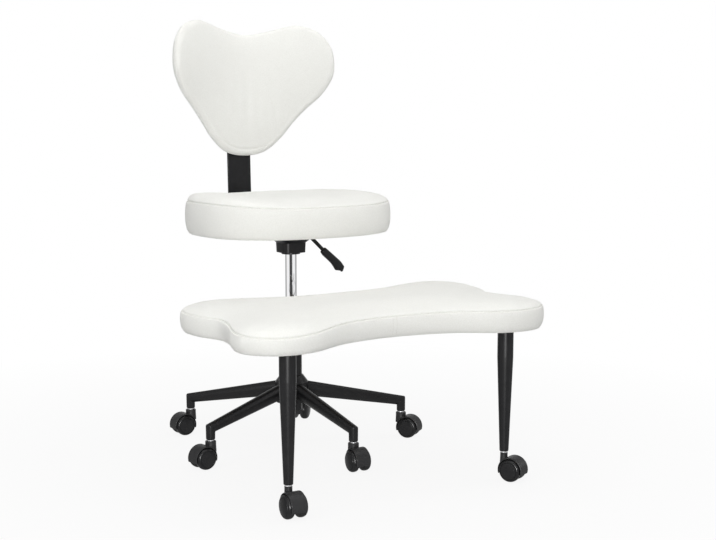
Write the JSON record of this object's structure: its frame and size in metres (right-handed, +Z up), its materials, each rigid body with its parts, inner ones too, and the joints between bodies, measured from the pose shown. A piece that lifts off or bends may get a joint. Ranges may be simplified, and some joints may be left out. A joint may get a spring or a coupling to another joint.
{
  "type": "cross-legged office chair with swivel footstool",
  "caption": "Armless swivel chair with a curved heart-shaped back and oval seat on a gas lift and wheeled star base, with a butterfly-shaped footrest pad that turns about the column.",
  "frame": {"origin": "centre of the object's footprint on the floor", "axes": "+Z up, -Y towards the footstool's front, +X towards the sitter's left as the chair is shown"},
  "size_m": [0.7498, 0.8444, 1.0264],
  "materials": {
    "ivory_fabric": "fine matt weave",
    "plywood": "plain plywood",
    "black_coat": "satin powder coat",
    "chrome": "polished",
    "steel": "plain",
    "grey_nylon": "moulded",
    "black_plastic": "satin moulded"
  },
  "bodies": {
    "base": {"base_hub": "black_coat", "base_leg_1": "black_coat", "base_leg_2": "black_coat", "base_leg_3": "black_coat", "base_leg_4": "black_coat", "base_leg_5": "black_coat", "column_tube": "black_coat", "guide_bush": "grey_nylon", "base_caster_1_stem": "steel", "base_caster_2_stem": "steel", "base_caster_3_stem": "steel", "base_caster_4_stem": "steel", "base_caster_5_stem": "steel"},
    "lift_core": {"piston_rod": "steel"},
    "seat": {"gas_cylinder": "chrome", "seat_mechanism": "black_coat", "seat_board": "plywood", "seat_cushion": "ivory_fabric", "back_bar": "black_coat", "back_board": "plywood", "back_cushion": "ivory_fabric"},
    "lever": {"lever_rod": "black_coat", "lever_grip": "black_plastic"},
    "valve": {"release_pin": "steel"},
    "footstool": {"footstool_collar": "black_coat", "footstool_arm": "black_coat", "footstool_board": "plywood", "footstool_cushion": "ivory_fabric", "footstool_leg_left": "black_coat", "footstool_leg_right": "black_coat", "footstool_caster_left_stem": "steel", "footstool_caster_right_stem": "steel"},
    "base_caster_1": {"base_caster_1_hood": "black_plastic", "base_caster_1_axle": "steel"},
    "base_caster_1_wheel_left": {"base_caster_1_wheel_left": "black_plastic"},
    "base_caster_1_wheel_right": {"base_caster_1_wheel_right": "black_plastic"},
    "base_caster_2": {"base_caster_2_hood": "black_plastic", "base_caster_2_axle": "steel"},
    "base_caster_2_wheel_left": {"base_caster_2_wheel_left": "black_plastic"},
    "base_caster_2_wheel_right": {"base_caster_2_wheel_right": "black_plastic"},
    "base_caster_3": {"base_caster_3_hood": "black_plastic", "base_caster_3_axle": "steel"},
    "base_caster_3_wheel_left": {"base_caster_3_wheel_left": "black_plastic"},
    "base_caster_3_wheel_right": {"base_caster_3_wheel_right": "black_plastic"},
    "base_caster_4": {"base_caster_4_hood": "black_plastic", "base_caster_4_axle": "steel"},
    "base_caster_4_wheel_left": {"base_caster_4_wheel_left": "black_plastic"},
    "base_caster_4_wheel_right": {"base_caster_4_wheel_right": "black_plastic"},
    "base_caster_5": {"base_caster_5_hood": "black_plastic", "base_caster_5_axle": "steel"},
    "base_caster_5_wheel_left": {"base_caster_5_wheel_left": "black_plastic"},
    "base_caster_5_wheel_right": {"base_caster_5_wheel_right": "black_plastic"},
    "footstool_caster_left": {"footstool_caster_left_hood": "black_plastic", "footstool_caster_left_axle": "steel"},
    "footstool_caster_left_wheel_left": {"footstool_caster_left_wheel_left": "black_plastic"},
    "footstool_caster_left_wheel_right": {"footstool_caster_left_wheel_right": "black_plastic"},
    "footstool_caster_right": {"footstool_caster_right_hood": "black_plastic", "footstool_caster_right_axle": "steel"},
    "footstool_caster_right_wheel_left": {"footstool_caster_right_wheel_left": "black_plastic"},
    "footstool_caster_right_wheel_right": {"footstool_caster_right_wheel_right": "black_plastic"}
  },
  "joints": [
    {"name": "seat_swivel", "type": "hinge", "parent": "base", "child": "lift_core", "pos_m": [0, 0.1513, 0.36], "axis": [0, 0, 1], "continuous": true},
    {"name": "seat_height", "type": "slide", "parent": "lift_core", "child": "seat", "axis": [0, 0, 1], "range_m": [-0.075, 0]},
    {"name": "lever_pull", "type": "hinge", "parent": "seat", "child": "lever", "pos_m": [0.0307, 0.15312, 0.50829], "axis": [0.0593, -0.9982, 0], "range_deg": [0, 6], "stiffness_Nm_per_rad": 1.2},
    {"name": "valve_press", "type": "slide", "parent": "seat", "child": "valve", "axis": [0, 0, -1], "range_m": [0, 0.005]},
    {"name": "footstool_turn", "type": "hinge", "parent": "base", "child": "footstool", "pos_m": [0, 0.1513, 0.31], "axis": [0, 0, 1], "continuous": true},
    {"name": "base_caster_1_swivel", "type": "hinge", "parent": "base", "child": "base_caster_1", "pos_m": [0.14956, 0.38516, 0.055], "axis": [0, 0, 1], "continuous": true},
    {"name": "base_caster_1_left_spin", "type": "hinge", "parent": "base_caster_1", "child": "base_caster_1_wheel_left", "pos_m": [0.13355, 0.37008, 0.025], "axis": [0.6858, -0.7278, 0], "continuous": true},
    {"name": "base_caster_1_right_spin", "type": "hinge", "parent": "base_caster_1", "child": "base_caster_1_wheel_right", "pos_m": [0.13355, 0.37008, 0.025], "axis": [0.6858, -0.7278, 0], "continuous": true},
    {"name": "base_caster_2_swivel", "type": "hinge", "parent": "base", "child": "base_caster_2", "pos_m": [0.26864, 0.08133, 0.055], "axis": [0, 0, 1], "continuous": true},
    {"name": "base_caster_2_left_spin", "type": "hinge", "parent": "base_caster_2", "child": "base_caster_2_wheel_left", "pos_m": [0.28227, 0.06406, 0.025], "axis": [0.7848, 0.6198, 0], "continuous": true},
    {"name": "base_caster_2_right_spin", "type": "hinge", "parent": "base_caster_2", "child": "base_caster_2_wheel_right", "pos_m": [0.28227, 0.06406, 0.025], "axis": [0.7848, 0.6198, 0], "continuous": true},
    {"name": "base_caster_3_swivel", "type": "hinge", "parent": "base", "child": "base_caster_3", "pos_m": [0.01646, -0.12581, 0.055], "axis": [0, 0, 1], "continuous": true},
    {"name": "base_caster_3_left_spin", "type": "hinge", "parent": "base_caster_3", "child": "base_caster_3_wheel_left", "pos_m": [0.01581, -0.1478, 0.025], "axis": [0.9996, -0.0297, 0], "continuous": true},
    {"name": "base_caster_3_right_spin", "type": "hinge", "parent": "base_caster_3", "child": "base_caster_3_wheel_right", "pos_m": [0.01581, -0.1478, 0.025], "axis": [0.9996, -0.0297, 0], "continuous": true},
    {"name": "base_caster_4_swivel", "type": "hinge", "parent": "base", "child": "base_caster_4", "pos_m": [-0.25846, 0.05001, 0.055], "axis": [0, 0, 1], "continuous": true},
    {"name": "base_caster_4_left_spin", "type": "hinge", "parent": "base_caster_4", "child": "base_caster_4_wheel_left", "pos_m": [-0.28011, 0.04608, 0.025], "axis": [0.1788, -0.9839, 0], "continuous": true},
    {"name": "base_caster_4_right_spin", "type": "hinge", "parent": "base_caster_4", "child": "base_caster_4_wheel_right", "pos_m": [-0.28011, 0.04608, 0.025], "axis": [0.1788, -0.9839, 0], "continuous": true},
    {"name": "base_caster_5_swivel", "type": "hinge", "parent": "base", "child": "base_caster_5", "pos_m": [-0.1762, 0.36581, 0.055], "axis": [0, 0, 1], "continuous": true},
    {"name": "base_caster_5_left_spin", "type": "hinge", "parent": "base_caster_5", "child": "base_caster_5_wheel_left", "pos_m": [-0.19817, 0.36454, 0.025], "axis": [0.0576, -0.9983, 0], "continuous": true},
    {"name": "base_caster_5_right_spin", "type": "hinge", "parent": "base_caster_5", "child": "base_caster_5_wheel_right", "pos_m": [-0.19817, 0.36454, 0.025], "axis": [0.0576, -0.9983, 0], "continuous": true},
    {"name": "footstool_caster_left_swivel", "type": "hinge", "parent": "footstool", "child": "footstool_caster_left", "pos_m": [-0.266, -0.3607, 0.055], "axis": [0, 0, 1], "continuous": true},
    {"name": "footstool_caster_left_left_spin", "type": "hinge", "parent": "footstool_caster_left", "child": "footstool_caster_left_wheel_left", "pos_m": [-0.26588, -0.3827, 0.025], "axis": [1, 0.0052, 0], "continuous": true},
    {"name": "footstool_caster_left_right_spin", "type": "hinge", "parent": "footstool_caster_left", "child": "footstool_caster_left_wheel_right", "pos_m": [-0.26588, -0.3827, 0.025], "axis": [1, 0.0052, 0], "continuous": true},
    {"name": "footstool_caster_right_swivel", "type": "hinge", "parent": "footstool", "child": "footstool_caster_right", "pos_m": [0.266, -0.3607, 0.055], "axis": [0, 0, 1], "continuous": true},
    {"name": "footstool_caster_right_left_spin", "type": "hinge", "parent": "footstool_caster_right", "child": "footstool_caster_right_wheel_left", "pos_m": [0.27643, -0.38007, 0.025], "axis": [0.8805, 0.4741, 0], "continuous": true},
    {"name": "footstool_caster_right_right_spin", "type": "hinge", "parent": "footstool_caster_right", "child": "footstool_caster_right_wheel_right", "pos_m": [0.27643, -0.38007, 0.025], "axis": [0.8805, 0.4741, 0], "continuous": true}
  ],
  "couplings": [
    {"joint": "valve_press", "follows": "lever_pull", "m_per_rad": 0.03475}
  ]
}
